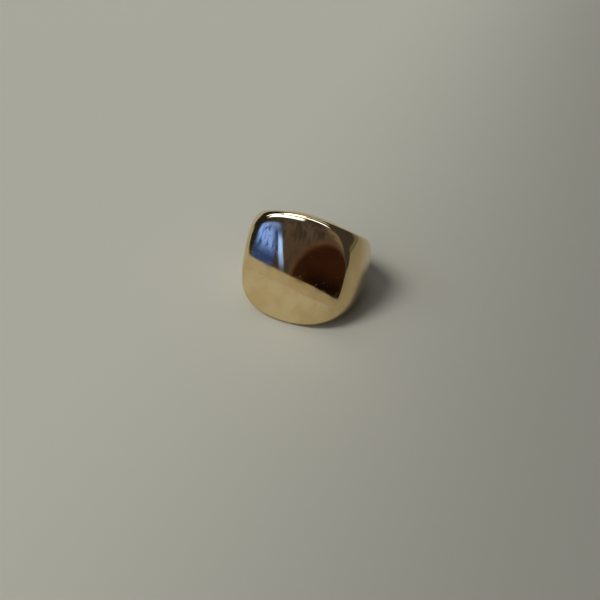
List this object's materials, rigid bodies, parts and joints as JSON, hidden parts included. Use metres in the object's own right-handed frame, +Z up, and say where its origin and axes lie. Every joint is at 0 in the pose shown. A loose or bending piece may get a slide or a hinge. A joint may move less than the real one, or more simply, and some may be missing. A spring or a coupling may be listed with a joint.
{
  "type": "signet ring",
  "caption": "Gold-coloured signet ring with a plain domed cushion-shaped face, tapering shoulders and a narrow shank round a finger hole.",
  "frame": {"origin": "middle of the finger hole, on its axis", "axes": "+Z is up with the ring resting on its lower edge, the face is towards -Y and tilted up, and the YZ plane is its plane of symmetry"},
  "size_m": [0.0216, 0.0235, 0.0186],
  "materials": {
    "gold": "polished, lightly scratched",
    "solder": "polished"
  },
  "bodies": {
    "root": {"finger_sleeve": "gold", "head_wall": "gold", "face_solder": "solder", "face_plate": "gold", "shoulder_right": "gold", "shoulder_left": "gold", "head_solder_right": "solder", "head_solder_left": "solder", "shank": "gold", "shank_solder_right": "solder", "shank_solder_left": "solder"}
  },
  "joints": []
}
